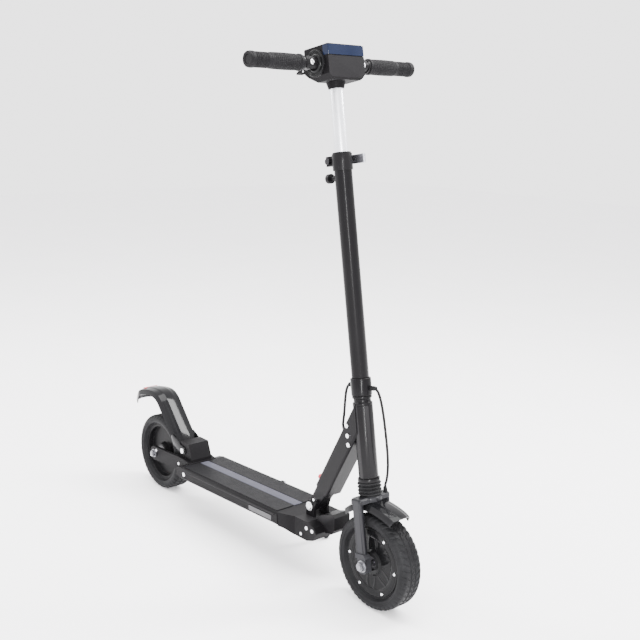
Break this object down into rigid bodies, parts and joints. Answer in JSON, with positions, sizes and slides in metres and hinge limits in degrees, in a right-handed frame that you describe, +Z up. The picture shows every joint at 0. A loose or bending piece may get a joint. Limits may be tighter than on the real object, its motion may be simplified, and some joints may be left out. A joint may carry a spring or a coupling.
{
  "type": "electric kick scooter",
  "caption": "Folding electric kick scooter: flat deck with rear foot-brake fender, hub-motor front wheel in a sprung fork, telescoping stem, control box and folding handlebars.",
  "frame": {"origin": "on the ground, at the middle of the overall length and width", "axes": "+X forward, the way it rides; +Y to the rider's left; +Z up"},
  "size_m": [1.035, 0.428, 1.1314],
  "materials": {
    "tyre_rubber": "matte moulded rubber with tread",
    "rim_black": "satin black",
    "hub_gloss": "glossy black",
    "bright_steel": "bright zinc plated",
    "stator_iron": "laminated, wound with copper",
    "frame_black": "satin black powder coat",
    "cover_black": "textured black",
    "mat_black": "ribbed rubber",
    "strip_grey": "pale grey hatched rubber",
    "battery_wrap": "blue shrink wrap",
    "controller_case": "extruded case",
    "soft_rubber": "soft black rubber",
    "reflector": "prismatic reflector",
    "fender_gloss": "glossy black",
    "lamp_red": "clear red",
    "button_red": "red",
    "mast_silver": "bright anodised",
    "alloy_grey": "cast alloy",
    "console_black": "fine texture",
    "smoked_glass": "smoked, glossy",
    "display_dark": "glossy dark window",
    "board_green": "circuit board",
    "grip_rubber": "textured grip rubber"
  },
  "bodies": {
    "deck": {"deck_shell": "frame_black", "deck_cover": "cover_black", "grip_mat": "mat_black", "grip_strip": "strip_grey", "battery_pack": "battery_wrap", "motor_controller": "controller_case", "front_casting": "frame_black", "fold_pin": "bright_steel", "side_reflectors": "reflector", "rear_frame": "frame_black", "deck_fasteners": "bright_steel", "rear_axle": "bright_steel", "kickstand_bracket": "frame_black"},
    "charge_cap": {"charge_cap": "soft_rubber"},
    "rear_fender": {"rear_fender": "fender_gloss", "brake_pad": "soft_rubber", "tail_light": "lamp_red"},
    "rear_wheel": {"rear_tyre": "tyre_rubber", "rear_rim": "rim_black", "rear_hub_bearings": "bright_steel"},
    "kickstand": {"kickstand_leg": "frame_black", "kickstand_foot": "soft_rubber"},
    "neck": {"neck_frame": "frame_black", "headset_bearings": "bright_steel", "neck_bolts": "bright_steel"},
    "release_button": {"release_button": "button_red"},
    "stem": {"steerer_tube": "frame_black", "stem_sleeve": "frame_black", "stem_tube": "frame_black", "clamp_collar": "frame_black", "clamp_bolt": "bright_steel", "cable_glands": "soft_rubber", "motor_cable": "soft_rubber", "control_cable": "soft_rubber", "fork_boot": "soft_rubber"},
    "clamp_lever": {"clamp_lever": "alloy_grey"},
    "fork": {"fork": "frame_black", "front_fender": "fender_gloss", "front_axle": "bright_steel", "motor_stator": "stator_iron"},
    "front_wheel": {"front_tyre": "tyre_rubber", "front_rim": "rim_black", "front_hub_covers": "hub_gloss", "hub_cover_bolts": "bright_steel", "front_hub_bearings": "bright_steel"},
    "mast": {"mast_tube": "mast_silver", "handlebar_core": "alloy_grey", "hinge_pins": "bright_steel", "console_base": "console_black", "console_cover": "console_black", "lamp_lens": "smoked_glass", "display_window": "display_dark", "console_electronics": "board_green"},
    "left_bar": {"handlebar_left": "frame_black", "grip_left": "grip_rubber"},
    "right_bar": {"handlebar_right": "frame_black", "grip_right": "grip_rubber"},
    "throttle_lever": {"throttle_lever": "console_black"},
    "brake_lever": {"brake_lever": "console_black"},
    "power_button": {"power_button": "soft_rubber"}
  },
  "joints": [
    {"name": "stem_fold", "type": "hinge", "parent": "deck", "child": "neck", "pos_m": [0.2215, 0, 0.158], "axis": [0, -1, 0], "range_deg": [0, 80.3]},
    {"name": "steer", "type": "hinge", "parent": "neck", "child": "stem", "pos_m": [0.40883, 0, 0.09852], "axis": [-0.1685, 0, 0.9857], "range_deg": [-45, 45], "deforming": ["control_cable"]},
    {"name": "fork_slide", "type": "slide", "parent": "stem", "child": "fork", "axis": [-0.1685, 0, 0.9857], "range_m": [0, 0.02], "stiffness_N_per_m": 8000, "springref_m": -0.02, "deforming": ["motor_cable", "fork_boot"]},
    {"name": "front_wheel_spin", "type": "hinge", "parent": "fork", "child": "front_wheel", "pos_m": [0.4175, 0, 0.1], "axis": [0, 1, 0], "continuous": true},
    {"name": "rear_wheel_spin", "type": "hinge", "parent": "deck", "child": "rear_wheel", "pos_m": [-0.4055, 0, 0.1], "axis": [0, 1, 0], "continuous": true},
    {"name": "mast_slide", "type": "slide", "parent": "stem", "child": "mast", "axis": [-0.1685, 0, 0.9857], "range_m": [-0.12, 0.03]},
    {"name": "clamp_lever_turn", "type": "hinge", "parent": "stem", "child": "clamp_lever", "pos_m": [0.24183, 0.0195, 0.90339], "axis": [-0.1685, 0, 0.9857], "range_deg": [0, 90]},
    {"name": "left_bar_fold", "type": "hinge", "parent": "mast", "child": "left_bar", "pos_m": [0.23882, 0.0675, 1.09309], "axis": [-0.9857, 0, -0.1685], "range_deg": [0, 90]},
    {"name": "right_bar_fold", "type": "hinge", "parent": "mast", "child": "right_bar", "pos_m": [0.23882, -0.0675, 1.09309], "axis": [0.9857, 0, 0.1685], "range_deg": [0, 90]},
    {"name": "throttle_press", "type": "hinge", "parent": "mast", "child": "throttle_lever", "pos_m": [0.19614, -0.034, 1.07869], "axis": [0, -1, 0], "range_deg": [0, 25], "stiffness_Nm_per_rad": 0.12, "springref_deg": -17.19},
    {"name": "brake_press", "type": "hinge", "parent": "mast", "child": "brake_lever", "pos_m": [0.19614, 0.034, 1.07869], "axis": [0, -1, 0], "range_deg": [0, 25], "stiffness_Nm_per_rad": 0.12, "springref_deg": -17.19},
    {"name": "power_press", "type": "slide", "parent": "mast", "child": "power_button", "axis": [0.9857, 0, 0.1685], "range_m": [0, 0.0015], "stiffness_N_per_m": 300, "springref_m": -0.002},
    {"name": "release_press", "type": "slide", "parent": "neck", "child": "release_button", "axis": [0.878, 0, -0.4787], "range_m": [0, 0.004], "stiffness_N_per_m": 600, "springref_m": -0.004},
    {"name": "foot_brake", "type": "hinge", "parent": "deck", "child": "rear_fender", "pos_m": [-0.2745, 0, 0.143], "axis": [0, -1, 0], "range_deg": [0, 4.3], "stiffness_Nm_per_rad": 4, "springref_deg": -8.59},
    {"name": "kickstand_swing", "type": "hinge", "parent": "deck", "child": "kickstand", "pos_m": [0.11879, 0.05, 0.08592], "axis": [0, 0.7206, 0.6933], "range_deg": [0, 82.6]},
    {"name": "charge_cap_swing", "type": "hinge", "parent": "deck", "child": "charge_cap", "pos_m": [0.0117, 0.07055, 0.12548], "axis": [0.9992, 0, 0.0388], "range_deg": [0, 110]}
  ]
}
